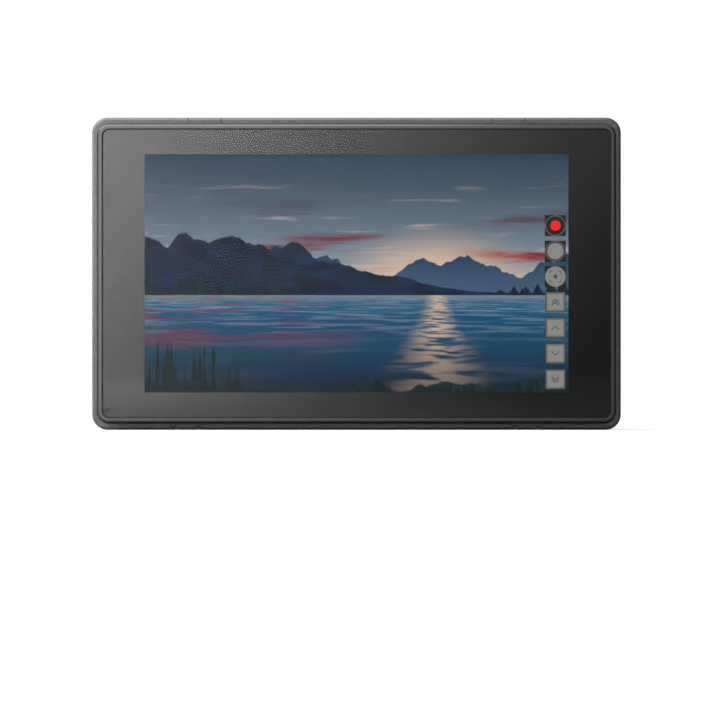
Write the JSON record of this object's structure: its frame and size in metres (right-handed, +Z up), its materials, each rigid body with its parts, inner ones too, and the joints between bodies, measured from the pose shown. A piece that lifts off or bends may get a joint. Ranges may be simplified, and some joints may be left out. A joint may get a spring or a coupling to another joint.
{
  "type": "camera field monitor",
  "caption": "Slim camera-top field monitor with a glass touch screen, slanted keys, a menu wheel, tripod threads at top and bottom, side sockets and a battery plate.",
  "frame": {"origin": "centre of the bottom tripod thread's mouth, on the flat face that the monitor stands on, at the middle of the mid housing's depth", "axes": "+X to the right of the screen, the screen faces -Y, +Z up"},
  "size_m": [0.1524, 0.0242, 0.0904],
  "materials": {
    "housing": "fine spark texture, dark grey",
    "bezel": "smooth satin, dark grey",
    "cover": "fine satin texture, dark grey",
    "keys": "fine satin with white printed signs",
    "glass": "polished cover glass",
    "mask": "black ink on the back of the glass",
    "tape": "black adhesive foam",
    "bond": "clear optical adhesive",
    "panel": "lit picture, a made-up lake scene with touch signs",
    "tray": "pressed sheet",
    "steel": "bright screws and plates",
    "brass": "turned brass",
    "board": "green solder mask",
    "chips": "moulded black",
    "pad": "soft thermal pad",
    "spreader": "plain aluminium sheet",
    "socket_metal": "plated shells",
    "socket_plastic": "moulded black",
    "flex": "amber film cable",
    "wheel": "black moulded wheel with ribs",
    "battery_plate": "black moulded plate",
    "contacts": "gold plated blades"
  },
  "bodies": {
    "housing": {"front_bezel": "bezel", "cover_glass": "glass", "border_mask": "mask", "glass_tape": "tape", "bond_sheet": "bond", "lcd_panel": "panel", "backlight_tray": "tray", "panel_foam": "tape", "bezel_screws": "steel", "mid_housing": "housing", "top_thread_insert": "brass", "bottom_thread_insert": "brass", "top_mount_plate": "steel", "bottom_mount_plate": "steel", "mount_plate_screws": "steel", "button_board": "board", "tact_switches": "steel", "button_board_screws": "steel", "return_board": "board", "return_switch": "steel", "return_board_screws": "steel", "main_board": "board", "board_chips": "chips", "board_screws": "steel", "thermal_pad": "pad", "heat_spreader": "spreader", "heat_spreader_screws": "steel", "hdmi_in_socket": "socket_metal", "hdmi_out_socket": "socket_metal", "usb_c_socket": "socket_metal", "headphone_socket": "socket_plastic", "dc_socket": "socket_plastic", "display_flex": "flex", "button_flex": "flex", "return_flex": "flex", "power_flex": "flex", "wheel_bracket": "steel", "wheel_bracket_screws": "steel", "wheel_switch": "steel", "rear_cover": "cover", "rear_screws": "steel", "battery_plate": "battery_plate", "battery_plate_screws": "steel", "battery_contacts": "contacts", "latch_spring": "steel"},
    "button_1": {"button_1": "keys"},
    "button_2": {"button_2": "keys"},
    "button_3": {"button_3": "keys"},
    "button_4": {"button_4": "keys"},
    "button_5": {"button_5": "keys"},
    "button_6": {"button_6": "keys"},
    "return_button": {"return_button": "keys"},
    "wheel_carrier": {"wheel_carrier": "chips", "wheel_encoder": "chips"},
    "menu_wheel": {"menu_wheel": "wheel", "wheel_axle": "steel"},
    "battery_release": {"battery_release": "battery_plate"}
  },
  "joints": [
    {"name": "button_1_press", "type": "slide", "parent": "housing", "child": "button_1", "axis": [0, 0, -1], "range_m": [0, 0.0005], "stiffness_N_per_m": 200, "springref_m": -0.001},
    {"name": "button_2_press", "type": "slide", "parent": "housing", "child": "button_2", "axis": [0, 0, -1], "range_m": [0, 0.0005], "stiffness_N_per_m": 200, "springref_m": -0.001},
    {"name": "button_3_press", "type": "slide", "parent": "housing", "child": "button_3", "axis": [0, 0, -1], "range_m": [0, 0.0005], "stiffness_N_per_m": 200, "springref_m": -0.001},
    {"name": "button_4_press", "type": "slide", "parent": "housing", "child": "button_4", "axis": [0, 0, -1], "range_m": [0, 0.0005], "stiffness_N_per_m": 200, "springref_m": -0.001},
    {"name": "button_5_press", "type": "slide", "parent": "housing", "child": "button_5", "axis": [0, 0, -1], "range_m": [0, 0.0005], "stiffness_N_per_m": 200, "springref_m": -0.001},
    {"name": "button_6_press", "type": "slide", "parent": "housing", "child": "button_6", "axis": [0, 0, -1], "range_m": [0, 0.0005], "stiffness_N_per_m": 200, "springref_m": -0.001},
    {"name": "return_button_press", "type": "slide", "parent": "housing", "child": "return_button", "axis": [0, 0, -1], "range_m": [0, 0.0005], "stiffness_N_per_m": 200, "springref_m": -0.001},
    {"name": "wheel_press", "type": "slide", "parent": "housing", "child": "wheel_carrier", "axis": [0, 0, -1], "range_m": [0, 0.00045], "stiffness_N_per_m": 800, "springref_m": -0.0005},
    {"name": "wheel_spin", "type": "hinge", "parent": "wheel_carrier", "child": "menu_wheel", "pos_m": [0.0585, 0.00263, 0.0824], "axis": [0, 1, 0], "continuous": true},
    {"name": "battery_release_press", "type": "slide", "parent": "housing", "child": "battery_release", "axis": [0, -1, 0], "range_m": [0, 0.0018], "stiffness_N_per_m": 500, "springref_m": -0.001}
  ]
}
